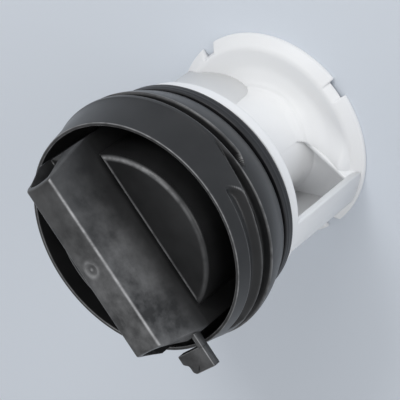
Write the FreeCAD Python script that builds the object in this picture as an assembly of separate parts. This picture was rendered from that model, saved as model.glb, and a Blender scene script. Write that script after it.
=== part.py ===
import FreeCAD, Part
import math
import os
from FreeCAD import Vector

# Washer pump filter: a screwed cap with a grip, its rubber seal, and the moulded
# basket that swivels on the cap's hub. Millimetres. Z is the axis, the basket's
# rear lip stands on Z 0 and the grip points up. X runs along the grip.

# Cap wall
RIM_Z = 54.6
RIM_R = 27.3
RIM_INNER_R = 26.5
RIM_EASE = 0.25
RIDGE_R = 29.3
SHOULDER_Z = 47.0
BELLY_Z = 45.0
WALL_BOW = 0.75
UPPER_WALL_Z = 50.4
LOWER_WALL_Z = 40.9
CAP_REAR_Z = 36.3
CAP_REAR_R = 27.0
CAP_REAR_ROUND = 0.6
FLOOR_TOP_Z = 38.0
FLOOR_INNER_R = 25.2

# Thread: grooves on each side of the mould leave the ridges between them
DEEP_GROOVE_START = 96.6
DEEP_GROOVE_SWEEP = 168.0
LOWER_GROOVE_START = 274.6
LOWER_GROOVE_SWEEP = 172.0
GROOVE_HALF_HEIGHT = 1.1
GROOVE_DRAFT = 0.25
GROOVE_FLOOR_R = 26.95
DEEP_GROOVE_Z = 46.1
UPPER_GROOVE_Z = 50.0
UPPER_GROOVE_FLOOR_R = 27.75
UPPER_GROOVE_HALF_HEIGHT = 0.95
UPPER_GROOVE_START = 202.6
UPPER_GROOVE_SWEEP = 64.0
LOWER_GROOVE_Z = 43.6
LOWER_GROOVE_FLOOR_R = 26.65

# Core and hub under the grip
CORE_R = 20.3
CORE_WALL = 1.6
PLATEAU_Z = 56.0
PAD_HEIGHT = 0.9
PAD_GAP = 0.65
PAD_EASE = 0.5
SPIGOT_R = 23.2
SPIGOT_WALL = 1.8
SPIGOT_REAR_Z = 31.3
BEAD_R = 23.9
BEAD_HEIGHT = 0.6
HUB_R = 5.0
HUB_BORE_R = 3.2
HUB_END_Z = 22.5
HUB_TIP_R = 4.1
HUB_HEAD_R = 5.8
HUB_HEAD_Z = 26.2
HUB_HEAD_TOP_Z = 27.6
HUB_SLOT_WIDTH = 1.2
HUB_SLOT_TOP_Z = 34.0

# Grip: a hollow bar, open at both ends
GRIP_FRONT_Z = 69.4
GRIP_CROWN = 0.5
GRIP_FRONT_HALF_WIDTH = 4.2
GRIP_BASE_HALF_WIDTH = 6.2
GRIP_FRONT_HALF_LENGTH = 20.8
GRIP_SHOULDER_Z = 62.0
GRIP_BASE_HALF_LENGTH = 23.9
GRIP_WALL = 1.15
GRIP_EDGE_ROUND = 0.7
CHANNEL_FLOOR_Z = 57.2
CHANNEL_FLOOR_THICKNESS = 1.5
GATE_R = 1.7
GATE_DEPTH = 0.3
GATE_NIB_R = 0.45

# Lug at one end of the grip
LUG_END_X = -31.6
LUG_START_X = -26.4
LUG_TOP_Z = 60.3
LUG_THICKNESS = 1.9
LUG_NEAR_Y = -5.5
LUG_FAR_Y = 2.9
LUG_ARM_WIDTH = 1.2
LUG_NOTCH_X = -29.3
LUG_NOTCH_DEPTH = 1.5
LUG_CORNER = 0.7
SLIT_LENGTH = 1.7
SLIT_WIDTH = 0.3
SLIT_DEPTH = 0.4
SLIT_X = -30.7
SLIT_Y = -0.85
SLIT_ANGLE = -44.0

# Seal
SEAL_R = 26.5
SEAL_REAR_Z = 31.9
SEAL_FRONT_Z = 36.1
SEAL_ROUND = 1.3

# Basket
COLLAR_R = 25.3
COLLAR_REAR_Z = 28.0
COLLAR_FRONT_Z = 31.0
COLLAR_ROUND = 0.7
PILOT_R = 20.9
PILOT_WALL = 1.4
PILOT_FRONT_Z = 34.0
RUNNING_CLEARANCE = 0.05
POST_FRONT_R = 11.2
POST_REAR_R = 12.6
POST_WALL = 1.6
POST_BORE_R = 9.6
POST_FRONT_ROUND = 2.0
POST_REAR_ROUND = 1.2
LIP_R = 25.25
LIP_HEIGHT = 0.9
LIP_INNER_R = 23.3
SKIRT_TOP_R = 22.7
SKIRT_TOP_Z = 2.9
SKIRT_EASE = 0.5
DISH_POST_Z = 3.2
DISH_LOW_Z = 2.2
DISH_LOW_R = 17.5
DISH_REAR_Z = 0.9
NOTCH_WIDTH = 4.3
NOTCH_DEPTHS = {0.5: 2.1, 91.0: 1.0, 180.5: 2.1, 271.0: 1.0}
STRUT_R = 24.75
STRUT_WALL = 1.7
STRUT_START = 201.0
STRUT_SWEEP = 21.5
STRUT_EDGE_ROUND = 0.5
WALL_OVERLAP = 0.5
WEB_THICKNESS = 1.4
WEB_POST_ANGLE = 144.0
WEB_MIDDLE = (-16.5, 0.3)
RIB_TOP_Z = 5.4
RIB_THICKNESS = 1.2
RIB_POST_ANGLE = 251.0

# How far the basket stands turned from the grip at rest
BASKET_TURN = 2.6

AXIS = Vector(0, 0, 1)
ORIGIN = Vector(0, 0, 0)


def turned(profile, start=0.0, sweep=360.0):
    """Solid turned about Z from a closed outline of (radius, height) points."""
    points = [Vector(radius, 0, height) for radius, height in profile]
    face = Part.Face(Part.makePolygon(points + [points[0]]))
    solid = face.revolve(ORIGIN, AXIS, sweep)
    solid.rotate(ORIGIN, AXIS, start)
    return solid


def turned_wire(edges):
    """Solid turned about Z from edges in the XZ plane that close on each other."""
    return Part.Face(Part.Wire(edges)).revolve(ORIGIN, AXIS, 360)


def line(first, second):
    start = Vector(first[0], 0, first[1])
    end = Vector(second[0], 0, second[1])
    return Part.LineSegment(start, end).toShape()


def eased(start, corner, end):
    """Two flats in place of a square corner, their ends on a quarter round."""
    share = 1 - math.sqrt(0.5)
    middle = [c + share * (a + b - 2 * c) for a, c, b in zip(start, corner, end)]
    return [line(start, middle), line(middle, end)]


def tube(outer, inner, low, high):
    return turned([(inner, low), (outer, low), (outer, high), (inner, high)])


def box(x_low, x_high, y_low, y_high, z_low, z_high):
    corner = Vector(x_low, y_low, z_low)
    return Part.makeBox(x_high - x_low, y_high - y_low, z_high - z_low, corner)


def polar(radius, degrees, height=0.0):
    angle = math.radians(degrees)
    return Vector(radius * math.cos(angle), radius * math.sin(angle), height)


def both_ways(make):
    """A piece and its copy turned half round the axis."""
    first = make()
    second = first.copy()
    second.rotate(ORIGIN, AXIS, 180)
    return [first, second]


def cap_wall():
    """Thin flaring wall, rounded at the rim, with the floor of the cup's ring groove."""
    rim_low = RIM_Z - RIM_EASE
    rim_inner = RIM_INNER_R + RIM_EASE
    rim_outer = RIM_R - RIM_EASE
    shoulder = (RIDGE_R, SHOULDER_Z)
    belly = (RIDGE_R, BELLY_Z)
    rear_edge = (CAP_REAR_R, CAP_REAR_Z + CAP_REAR_ROUND)
    rear_face = (CAP_REAR_R - CAP_REAR_ROUND, CAP_REAR_Z)
    core_inner = CORE_R - CORE_WALL
    edges = [
        line((FLOOR_INNER_R, FLOOR_TOP_Z), (RIM_INNER_R, rim_low)),
        line((RIM_INNER_R, rim_low), (rim_inner, RIM_Z)),
        line((rim_inner, RIM_Z), (rim_outer, RIM_Z)),
        line((rim_outer, RIM_Z), (RIM_R, rim_low)),
        line((RIM_R, rim_low), (RIM_R + WALL_BOW, UPPER_WALL_Z)),
        line((RIM_R + WALL_BOW, UPPER_WALL_Z), shoulder),
        line(shoulder, belly),
        line(belly, (RIDGE_R - WALL_BOW, LOWER_WALL_Z)),
        line((RIDGE_R - WALL_BOW, LOWER_WALL_Z), rear_edge),
        *eased(rear_edge, (CAP_REAR_R, CAP_REAR_Z), rear_face),
        line(rear_face, (core_inner, CAP_REAR_Z)),
        line((core_inner, CAP_REAR_Z), (core_inner, FLOOR_TOP_Z)),
        line((core_inner, FLOOR_TOP_Z), (FLOOR_INNER_R, FLOOR_TOP_Z)),
    ]
    return turned_wire(edges)


def thread_groove(height, half_height, floor_r, start, sweep):
    """Groove round part of the wall, with drafted sides and rounded ends."""
    outer = RIDGE_R + 2
    draft = half_height * GROOVE_DRAFT
    profile = [
        (floor_r, height - half_height + draft), (outer, height - half_height - draft),
        (outer, height + half_height + draft), (floor_r, height + half_height - draft),
    ]
    groove = turned(profile, start, sweep)
    ends = []
    for angle in (start, start + sweep):
        foot = polar(floor_r, angle, height)
        narrow = half_height - draft
        wide = half_height + draft
        ends.append(Part.makeCone(narrow, wide, outer - floor_r, foot, polar(1, angle)))
    return groove.multiFuse(ends)


def thread_grooves():
    """Interrupted grooves whose walls leave the thread's ridges."""
    return [
        thread_groove(
            DEEP_GROOVE_Z, GROOVE_HALF_HEIGHT, GROOVE_FLOOR_R,
            DEEP_GROOVE_START, DEEP_GROOVE_SWEEP,
        ),
        thread_groove(
            UPPER_GROOVE_Z, UPPER_GROOVE_HALF_HEIGHT, UPPER_GROOVE_FLOOR_R,
            UPPER_GROOVE_START, UPPER_GROOVE_SWEEP,
        ),
        thread_groove(
            LOWER_GROOVE_Z, GROOVE_HALF_HEIGHT, LOWER_GROOVE_FLOOR_R,
            LOWER_GROOVE_START, LOWER_GROOVE_SWEEP,
        ),
    ]


def cap_core():
    """Round core that carries the grip, closed in front, and the spigot for the seal."""
    skirt_inner = CORE_R - CORE_WALL
    top = PLATEAU_Z - PAD_HEIGHT
    ceiling = top - CORE_WALL
    skirt = turned([
        (skirt_inner, CAP_REAR_Z), (CORE_R, CAP_REAR_Z), (CORE_R, top), (0, top),
        (0, ceiling), (skirt_inner, ceiling),
    ])
    spigot = tube(SPIGOT_R, SPIGOT_R - SPIGOT_WALL, SPIGOT_REAR_Z, FLOOR_TOP_Z)
    bead = tube(BEAD_R, SPIGOT_R - SPIGOT_WALL, SPIGOT_REAR_Z, SPIGOT_REAR_Z + BEAD_HEIGHT)
    return skirt.multiFuse([spigot, bead])


def pad():
    """D-shaped pad on the core beside the grip, eased all round its front face."""
    low = PLATEAU_Z - PAD_HEIGHT - WALL_OVERLAP
    disc = Part.makeCylinder(CORE_R, PLATEAU_Z - low, Vector(0, 0, low))
    chord = GRIP_BASE_HALF_WIDTH + PAD_GAP
    keep = box(-CORE_R, CORE_R, -CORE_R, -chord, low, PLATEAU_Z)
    block = disc.common(keep)
    front_edges = [edge for edge in block.Edges if edge.BoundBox.ZMin > PLATEAU_Z - PAD_EASE]
    return block.makeChamfer(PAD_EASE, front_edges)


def grip_outline(inset, base_z):
    """Cross-section of the grip in the YZ plane, with a crowned front face."""
    front = GRIP_FRONT_HALF_WIDTH - inset
    base = GRIP_BASE_HALF_WIDTH - inset
    top = GRIP_FRONT_Z - GRIP_CROWN - inset
    slope = (base - front) / (top - PLATEAU_Z)
    shoulder = max(PLATEAU_Z, base_z)
    foot = front + slope * (top - shoulder)
    points = [Vector(0, -front, top), Vector(0, -foot, shoulder)]
    if base_z < PLATEAU_Z:
        points += [Vector(0, -base, base_z), Vector(0, base, base_z)]
    points += [Vector(0, foot, shoulder), Vector(0, front, top)]
    crown = Part.Arc(points[-1], Vector(0, 0, GRIP_FRONT_Z - inset), points[0]).toShape()
    return Part.Face(Part.Wire(Part.makePolygon(points).Edges + [crown]))


def grip_ends(base_z):
    """Side view of the grip in the XZ plane: its ends lean in towards the front."""
    front = GRIP_FRONT_HALF_LENGTH
    base = GRIP_BASE_HALF_LENGTH
    above = GRIP_FRONT_Z + 1
    lean = (base - front) / (GRIP_FRONT_Z - GRIP_SHOULDER_Z)
    tip = front - lean
    points = [(-base, base_z), (base, base_z), (base, GRIP_SHOULDER_Z), (tip, above), (-tip, above)]
    points.append((-base, GRIP_SHOULDER_Z))
    side = GRIP_BASE_HALF_WIDTH + 1
    corners = [Vector(x, -side, z) for x, z in points]
    return Part.Face(Part.makePolygon(corners + [corners[0]])).extrude(Vector(0, 2 * side, 0))


def grip_bar():
    """Hollow bar across the cup, with a floor inside it and both ends open."""
    reach = GRIP_BASE_HALF_LENGTH + 1
    root_z = FLOOR_TOP_Z - WALL_OVERLAP
    section = grip_outline(0, root_z)
    section.translate(Vector(-reach, 0, 0))
    bar = section.extrude(Vector(2 * reach, 0, 0)).common(grip_ends(root_z))
    front_edges = []
    for edge in bar.Edges:
        middle = edge.CenterOfMass
        at_side = abs(middle.y) > GRIP_FRONT_HALF_WIDTH * 0.9
        if at_side and middle.z > GRIP_FRONT_Z - 2 * GRIP_CROWN:
            front_edges.append(edge)
    bar = bar.makeFillet(GRIP_EDGE_ROUND, front_edges)
    hollow = grip_outline(GRIP_WALL, CHANNEL_FLOOR_Z)
    hollow.translate(Vector(-reach, 0, 0))
    return bar.cut(hollow.extrude(Vector(2 * reach, 0, 0)))


def gate_mark():
    """Shallow round dimple in the middle of the grip's front face, with its nib."""
    dimple = Part.makeCylinder(GATE_R, 2, Vector(0, 0, GRIP_FRONT_Z - GATE_DEPTH))
    nib_low = GRIP_FRONT_Z - GATE_DEPTH - WALL_OVERLAP
    nib = Part.makeCylinder(GATE_NIB_R, GRIP_FRONT_Z - nib_low, Vector(0, 0, nib_low))
    return dimple, nib


def lug():
    """Flat tab past the rim, held by an arm that carries on the grip's side wall."""
    low = LUG_TOP_Z - LUG_THICKNESS
    notch = LUG_FAR_Y - LUG_NOTCH_DEPTH
    outline = [
        (LUG_START_X, LUG_NEAR_Y), (LUG_END_X, LUG_NEAR_Y),
        (LUG_END_X, notch - LUG_CORNER), (LUG_END_X + LUG_CORNER, notch),
        (LUG_NOTCH_X, notch), (LUG_NOTCH_X + LUG_CORNER, LUG_FAR_Y), (LUG_START_X, LUG_FAR_Y),
    ]
    corners = [Vector(x, y, low) for x, y in outline]
    tab = Part.Face(Part.makePolygon(corners + [corners[0]])).extrude(Vector(0, 0, LUG_THICKNESS))
    arm_start = LUG_START_X - WALL_OVERLAP
    arm_end = WALL_OVERLAP - GRIP_BASE_HALF_LENGTH
    arm = box(arm_start, arm_end, LUG_NEAR_Y, LUG_NEAR_Y + LUG_ARM_WIDTH, low, LUG_TOP_Z)
    slit = box(-SLIT_LENGTH / 2, SLIT_LENGTH / 2, -SLIT_WIDTH / 2, SLIT_WIDTH / 2, -SLIT_DEPTH, 1)
    slit.rotate(ORIGIN, AXIS, SLIT_ANGLE)
    slit.translate(Vector(SLIT_X, SLIT_Y, LUG_TOP_Z))
    return tab.fuse(arm).cut(slit)


def hub():
    """Hollow stub with a split snap head, on which the basket turns."""
    root_z = CHANNEL_FLOOR_Z - CHANNEL_FLOOR_THICKNESS / 2
    outline = [
        (HUB_BORE_R, HUB_END_Z), (HUB_TIP_R, HUB_END_Z), (HUB_HEAD_R, HUB_HEAD_Z), (HUB_R, HUB_HEAD_TOP_Z),
        (HUB_R, root_z), (HUB_BORE_R, root_z),
    ]
    stub = turned(outline)
    half = HUB_SLOT_WIDTH / 2
    slot = box(-HUB_HEAD_R - 1, HUB_HEAD_R + 1, -half, half, HUB_END_Z - 1, HUB_SLOT_TOP_Z)
    cross = slot.copy()
    cross.rotate(ORIGIN, AXIS, 90)
    return stub.cut(slot).cut(cross)


def screw_cap():
    body = cap_wall().multiFuse([cap_core(), grip_bar(), lug()] + both_ways(pad))
    ceiling = CHANNEL_FLOOR_Z - CHANNEL_FLOOR_THICKNESS
    inside = GRIP_BASE_HALF_WIDTH - GRIP_WALL
    length = SPIGOT_R - SPIGOT_WALL
    under_grip = box(-length, length, -inside, inside, CAP_REAR_Z - 1, ceiling)
    core_height = PLATEAU_Z - PAD_HEIGHT - CORE_WALL - CAP_REAR_Z + 1
    under_core = Part.makeCylinder(CORE_R - CORE_WALL, core_height, Vector(0, 0, CAP_REAR_Z - 1))
    dimple, nib = gate_mark()
    for cutter in [under_grip, under_core, dimple] + thread_grooves():
        body = body.cut(cutter)
    return body.multiFuse([hub(), nib]).removeSplitter()


def seal_ring():
    """Rubber ring, square inside where it grips the spigot and rounded outside."""
    shoulder = SEAL_R - SEAL_ROUND
    low = SEAL_REAR_Z + SEAL_ROUND
    high = SEAL_FRONT_Z - SEAL_ROUND
    edges = [
        line((SPIGOT_R, SEAL_REAR_Z), (shoulder, SEAL_REAR_Z)),
        *eased((shoulder, SEAL_REAR_Z), (SEAL_R, SEAL_REAR_Z), (SEAL_R, low)),
        line((SEAL_R, low), (SEAL_R, high)),
        *eased((SEAL_R, high), (SEAL_R, SEAL_FRONT_Z), (shoulder, SEAL_FRONT_Z)),
        line((shoulder, SEAL_FRONT_Z), (SPIGOT_R, SEAL_FRONT_Z)),
        line((SPIGOT_R, SEAL_FRONT_Z), (SPIGOT_R, SEAL_REAR_Z)),
    ]
    return turned_wire(edges)


def collar():
    """Front plate of the basket, with the bore for the hub and a pilot inside the spigot."""
    bore = HUB_R + RUNNING_CLEARANCE
    rear_face = (COLLAR_R - COLLAR_ROUND, COLLAR_REAR_Z)
    side = (COLLAR_R, COLLAR_REAR_Z + COLLAR_ROUND)
    edges = [
        line((bore, COLLAR_REAR_Z), rear_face),
        *eased(rear_face, (COLLAR_R, COLLAR_REAR_Z), side),
        line(side, (COLLAR_R, COLLAR_FRONT_Z)),
        line((COLLAR_R, COLLAR_FRONT_Z), (bore, COLLAR_FRONT_Z)),
        line((bore, COLLAR_FRONT_Z), (bore, COLLAR_REAR_Z)),
    ]
    pilot = tube(PILOT_R, PILOT_R - PILOT_WALL, COLLAR_REAR_Z, PILOT_FRONT_Z)
    return turned_wire(edges).fuse(pilot)


def post():
    """Hollow centre post like a spool: it flares into the collar and into the dish."""
    top = COLLAR_REAR_Z + WALL_OVERLAP
    foot = DISH_POST_Z - WALL_OVERLAP
    front_r = POST_FRONT_R + POST_FRONT_ROUND
    rear_r = POST_REAR_R + POST_REAR_ROUND
    front_end = (POST_FRONT_R, COLLAR_REAR_Z - POST_FRONT_ROUND)
    rear_end = (POST_REAR_R, foot + POST_REAR_ROUND)
    edges = [
        line((POST_BORE_R, DISH_REAR_Z), (POST_REAR_R, DISH_REAR_Z)),
        line((POST_REAR_R, DISH_REAR_Z), (rear_r, foot)),
        *eased((rear_r, foot), (POST_REAR_R, foot), rear_end),
        line(rear_end, front_end),
        *eased(front_end, (POST_FRONT_R, COLLAR_REAR_Z), (front_r, COLLAR_REAR_Z)),
        line((front_r, COLLAR_REAR_Z), (front_r, top)),
        line((front_r, top), (POST_BORE_R, top)),
        line((POST_BORE_R, top), (POST_BORE_R, DISH_REAR_Z)),
    ]
    return turned_wire(edges)


def dish():
    """Rear dish: a shallow hollow round the post, then a skirt that flares to the lip."""
    inner = POST_REAR_R - POST_WALL / 2
    return turned([
        (inner, DISH_POST_Z), (DISH_LOW_R, DISH_LOW_Z),
        (SKIRT_TOP_R - SKIRT_EASE, SKIRT_TOP_Z), (SKIRT_TOP_R + SKIRT_EASE, SKIRT_TOP_Z - SKIRT_EASE / 2),
        (LIP_R, LIP_HEIGHT), (LIP_R, 0), (LIP_INNER_R, 0),
        (LIP_INNER_R, DISH_REAR_Z), (inner, DISH_REAR_Z),
    ])


def lip_notches():
    """Keyways in the lip that hold the basket still while the cap is turned."""
    cutters = []
    half = NOTCH_WIDTH / 2
    for angle, depth in NOTCH_DEPTHS.items():
        cutter = box(LIP_R - depth, LIP_R + 2, -half, half, -1, SKIRT_TOP_Z + 1)
        cutter.rotate(ORIGIN, AXIS, angle)
        cutters.append(cutter)
    return cutters


def strut():
    """Shell segment from the collar to the lip, soft along its trailing edge."""
    inner = STRUT_R - STRUT_WALL
    top = COLLAR_REAR_Z + WALL_OVERLAP
    outline = [(inner, LIP_HEIGHT), (STRUT_R, LIP_HEIGHT), (STRUT_R, top), (inner, top)]
    shell = turned(outline, STRUT_START, STRUT_SWEEP)
    trailing = polar(STRUT_R - STRUT_WALL / 2, STRUT_START + STRUT_SWEEP, (LIP_HEIGHT + top) / 2)
    upright = [
        edge for edge in shell.Edges
        if (edge.CenterOfMass - trailing).Length < STRUT_WALL
    ]
    return shell.makeFillet(STRUT_EDGE_ROUND, upright)


def plank(first, second, thickness, low, high):
    """Upright plate between two points, its thickness to the left of the way."""
    way = second - first
    side = Vector(-way.y, way.x, 0).normalize() * thickness
    corners = [first, second, second + side, first + side]
    corners = [Vector(p.x, p.y, low) for p in corners]
    return Part.Face(Part.makePolygon(corners + [corners[0]])).extrude(Vector(0, 0, high - low))


def curved_plank(first, middle, last, thickness, low, high):
    """Upright plate whose middle line is the arc through three points."""
    path = Part.Arc(first, middle, last).toShape().Curve
    centre = path.Center
    rims = []
    for radius in (path.Radius - thickness / 2, path.Radius + thickness / 2):
        rim = [centre + (point - centre).normalize() * radius for point in (first, middle, last)]
        rims.append(rim)
    inner, outer = rims
    edges = [
        Part.Arc(*inner).toShape(),
        Part.LineSegment(inner[2], outer[2]).toShape(),
        Part.Arc(*outer).toShape(),
        Part.LineSegment(outer[0], inner[0]).toShape(),
    ]
    plate = Part.Face(Part.Wire(Part.__sortEdges__(edges))).extrude(Vector(0, 0, high - low))
    plate.translate(Vector(0, 0, low))
    return plate


def web():
    """Full-height wall that bows from the post's flank to the strut's leading edge."""
    start = polar(POST_FRONT_R - POST_WALL / 2, WEB_POST_ANGLE)
    end = polar(STRUT_R - STRUT_WALL / 2, STRUT_START + 1.5)
    middle = Vector(WEB_MIDDLE[0], WEB_MIDDLE[1], 0)
    low = DISH_LOW_Z - WALL_OVERLAP
    return curved_plank(start, middle, end, WEB_THICKNESS, low, COLLAR_REAR_Z + WALL_OVERLAP)


def rib():
    """Low rib across the dish from the post to the strut's trailing edge, rounded on top."""
    start = polar(POST_REAR_R - POST_WALL / 2, RIB_POST_ANGLE)
    end = polar(STRUT_R - STRUT_WALL / 2, STRUT_START + STRUT_SWEEP - 2)
    bar = plank(start, end, RIB_THICKNESS, DISH_LOW_Z - WALL_OVERLAP, RIB_TOP_Z)
    top_edges = [
        edge for edge in bar.Edges
        if edge.CenterOfMass.z > RIB_TOP_Z - 0.01 and edge.Length > 2 * RIB_THICKNESS
    ]
    return bar.makeFillet(RIB_THICKNESS * 0.45, top_edges)


def filter_basket():
    walls = both_ways(strut) + both_ways(web) + both_ways(rib)
    body = collar().multiFuse([post(), dish()] + walls)
    core = Part.makeCylinder(POST_BORE_R, COLLAR_REAR_Z + 1, Vector(0, 0, -1))
    for cutter in [core] + lip_notches():
        body = body.cut(cutter)
    body = body.removeSplitter()
    body.rotate(ORIGIN, AXIS, BASKET_TURN)
    return body


def main():
    os.makedirs("parts", exist_ok=True)
    pieces = {"screw_cap": screw_cap(), "seal_ring": seal_ring(), "filter_basket": filter_basket()}
    for name, shape in pieces.items():
        print(name, "solids", len(shape.Solids), "valid", shape.isValid(), "volume", round(shape.Volume))
        print(name, shape.BoundBox)
        shape.exportStep("parts/" + name + ".step")


main()
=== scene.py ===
import bpy
import numpy as np
from mathutils import Matrix, Vector


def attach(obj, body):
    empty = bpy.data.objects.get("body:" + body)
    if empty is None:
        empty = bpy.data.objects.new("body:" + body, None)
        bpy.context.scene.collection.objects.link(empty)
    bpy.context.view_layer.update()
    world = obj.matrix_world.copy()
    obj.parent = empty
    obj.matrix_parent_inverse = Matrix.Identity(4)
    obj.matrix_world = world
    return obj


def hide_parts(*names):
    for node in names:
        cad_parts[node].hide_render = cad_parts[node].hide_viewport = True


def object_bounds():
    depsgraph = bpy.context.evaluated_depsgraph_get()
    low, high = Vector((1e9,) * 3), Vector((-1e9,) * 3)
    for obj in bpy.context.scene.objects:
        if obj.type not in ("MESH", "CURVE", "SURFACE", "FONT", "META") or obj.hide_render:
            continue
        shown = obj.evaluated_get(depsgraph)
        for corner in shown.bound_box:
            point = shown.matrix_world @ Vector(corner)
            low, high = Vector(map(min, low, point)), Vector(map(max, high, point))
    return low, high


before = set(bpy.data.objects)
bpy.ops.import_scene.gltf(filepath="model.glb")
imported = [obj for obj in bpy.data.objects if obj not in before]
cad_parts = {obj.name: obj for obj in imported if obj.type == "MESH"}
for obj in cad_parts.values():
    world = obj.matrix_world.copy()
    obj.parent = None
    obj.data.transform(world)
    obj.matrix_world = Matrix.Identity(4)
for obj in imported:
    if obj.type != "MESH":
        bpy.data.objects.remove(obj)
cadLow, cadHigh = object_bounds()
print("loaded", sorted(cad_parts))

bpy.context.scene.view_settings.view_transform = "Standard"


# Short helpers for node trees

mixSockets = {"mask": 0, "base": 6, "over": 7, "result": 2}  # of a Mix node that mixes colours


def newMaterial(name):
    material = bpy.data.materials.new(name)
    material.use_nodes = True
    material.node_tree.nodes.clear()
    return material, material.node_tree


def addNode(tree, kind, place, **values):
    # a value goes to the socket of that name, or else to the node's own setting
    node = tree.nodes.new(kind)
    node.location = place
    for key, value in values.items():
        if key in node.inputs:
            node.inputs[key].default_value = value
        else:
            setattr(node, key, value)
    return node


def joinNodes(tree, source, sourceSocket, target, targetSocket):
    tree.links.new(source.outputs[sourceSocket], target.inputs[targetSocket])


def noiseAt(tree, coords, place, settings):
    scale, detail, roughness = settings
    noise = addNode(tree, "ShaderNodeTexNoise", place, Scale=scale, Detail=detail, Roughness=roughness)
    joinNodes(tree, coords, "Object", noise, "Vector")
    return noise


def rampFrom(tree, noise, place, levels, colours):
    # from the first colour to the second between two levels of the noise
    ramp = addNode(tree, "ShaderNodeValToRGB", place)
    for element, level, colour in zip(ramp.color_ramp.elements, levels, colours):
        element.position = level
        element.color = colour
    joinNodes(tree, noise, "Fac", ramp, "Fac")
    return ramp


def rangeFrom(tree, source, socket, place, levels, results):
    # from the first result to the second between two levels of the source
    node = addNode(tree, "ShaderNodeMapRange", place)
    node.inputs["From Min"].default_value = levels[0]
    node.inputs["From Max"].default_value = levels[1]
    node.inputs["To Min"].default_value = results[0]
    node.inputs["To Max"].default_value = results[1]
    joinNodes(tree, source, socket, node, "Value")
    return node


def timesMask(tree, first, firstSocket, second, secondSocket, place):
    node = addNode(tree, "ShaderNodeMath", place, operation="MULTIPLY")
    joinNodes(tree, first, firstSocket, node, 0)
    joinNodes(tree, second, secondSocket, node, 1)
    return node


def mixColour(tree, base, baseSocket, mask, colour, place):
    # lays one colour over another by a mask
    node = addNode(tree, "ShaderNodeMix", place, data_type="RGBA")
    node.inputs[mixSockets["over"]].default_value = colour
    joinNodes(tree, mask, "Value", node, mixSockets["mask"])
    joinNodes(tree, base, baseSocket, node, mixSockets["base"])
    return node


def grainAndOutput(tree, coords, look, shader):
    # fine grain in the surface, then the material's output
    grain = noiseAt(tree, coords, (-850, -700), look["grainNoise"])
    bump = addNode(tree, "ShaderNodeBump", (-350, -500))
    bump.inputs["Strength"].default_value = look["grainDepth"]
    bump.inputs["Distance"].default_value = look["grainHeight"]
    joinNodes(tree, grain, "Fac", bump, "Height")
    joinNodes(tree, bump, "Normal", shader, "Normal")
    out = addNode(tree, "ShaderNodeOutputMaterial", (350, 0))
    joinNodes(tree, shader, "BSDF", out, "Surface")


# Black cap plastic: satin, cloudy where fingers have rubbed the grip, pale along its edges, partly edge
# wear and partly painted highlight

capLook = {
    "dark": (0.0125, 0.0126, 0.0130, 1.0),
    "light": (0.0245, 0.0246, 0.0252, 1.0),
    "scuff": (0.26, 0.26, 0.262, 1.0),
    "wornHighlight": (0.58, 0.58, 0.585, 1.0),
    "rough": (0.27, 0.38), "roughLevels": (0.3, 0.7),
    "shine": 0.46,
    # every noise here and below is scale, detail, roughness; heights and places are in metres
    "cloudNoise": (70.0, 4.0, 0.6), "cloudLevels": (0.35, 0.7),
    "scuffNoise": (78.0, 5.0, 0.62), "scuffLevels": (0.40, 0.66), "scuffAmount": (0.0, 0.75),
    "scuffZ": (0.0570, 0.0640), "scuffX": (0.016, -0.010), "scuffGrowth": (0.30, 1.0),
    "wornHighlightNoise": (420.0, 3.0, 0.6), "wornHighlightLevels": (0.35, 0.6), "wornHighlightAmount": (0.45, 1.0),
    "grainNoise": (5200.0, 2.0, 0.5), "grainDepth": 0.035, "grainHeight": 0.0002,
}


def makeCapPlastic():
    look = capLook
    material, tree = newMaterial("capPlastic")
    coords = addNode(tree, "ShaderNodeTexCoord", (-1500, 0))
    split = addNode(tree, "ShaderNodeSeparateXYZ", (-1300, -300))
    joinNodes(tree, coords, "Object", split, "Vector")
    cloud = noiseAt(tree, coords, (-1300, 300), look["cloudNoise"])
    base = rampFrom(tree, cloud, (-1050, 300), look["cloudLevels"], (look["dark"], look["light"]))
    # scuffs lie on the grip only, above the pads, and grow towards the lug
    height = rangeFrom(tree, split, "Z", (-1050, -300), look["scuffZ"], (0.0, 1.0))
    along = rangeFrom(tree, split, "X", (-1050, -550), look["scuffX"], look["scuffGrowth"])
    patch = noiseAt(tree, coords, (-1300, 0), look["scuffNoise"])
    patchMask = rangeFrom(tree, patch, "Fac", (-1050, 0), look["scuffLevels"], look["scuffAmount"])
    gripMask = timesMask(tree, height, "Result", patchMask, "Result", (-800, -100))
    scuffMask = timesMask(tree, gripMask, "Value", along, "Result", (-600, -200))
    scuffed = mixColour(tree, base, "Color", scuffMask, look["scuff"], (-400, 200))
    # pale edges come from the pieces' own values of wear and painted highlight, broken up a little
    wearHighlight = addNode(tree, "ShaderNodeAttribute", (-800, 500), attribute_name="wearHighlight")
    patchyEdges = noiseAt(tree, coords, (-1050, 650), look["wornHighlightNoise"])
    patchyEdgesMask = rangeFrom(tree, patchyEdges, "Fac", (-800, 700), look["wornHighlightLevels"], look["wornHighlightAmount"])
    wearHighlightMask = timesMask(tree, wearHighlight, "Fac", patchyEdgesMask, "Result", (-600, 550))
    wornHighlight = mixColour(tree, scuffed, mixSockets["result"], wearHighlightMask, look["wornHighlight"], (-200, 250))
    rough = rangeFrom(tree, cloud, "Fac", (-600, -450), look["roughLevels"], look["rough"])
    shader = addNode(tree, "ShaderNodeBsdfPrincipled", (50, 0))
    shader.inputs["Specular IOR Level"].default_value = look["shine"]
    joinNodes(tree, wornHighlight, mixSockets["result"], shader, "Base Color")
    joinNodes(tree, rough, "Result", shader, "Roughness")
    grainAndOutput(tree, coords, look, shader)
    return material


# Seal rubber: darker and duller than the cap

sealFinish = {
    "dark": (0.0075, 0.0075, 0.0085, 1.0),
    "light": (0.0150, 0.0150, 0.0170, 1.0),
    "dustNoise": (160.0, 4.0, 0.6), "dustLevels": (0.35, 0.75),
    "rough": (0.34, 0.5), "roughLevels": (0.3, 0.7),
    "grainNoise": (2600.0, 2.0, 0.5), "grainDepth": 0.06, "grainHeight": 0.0002,
}


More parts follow.
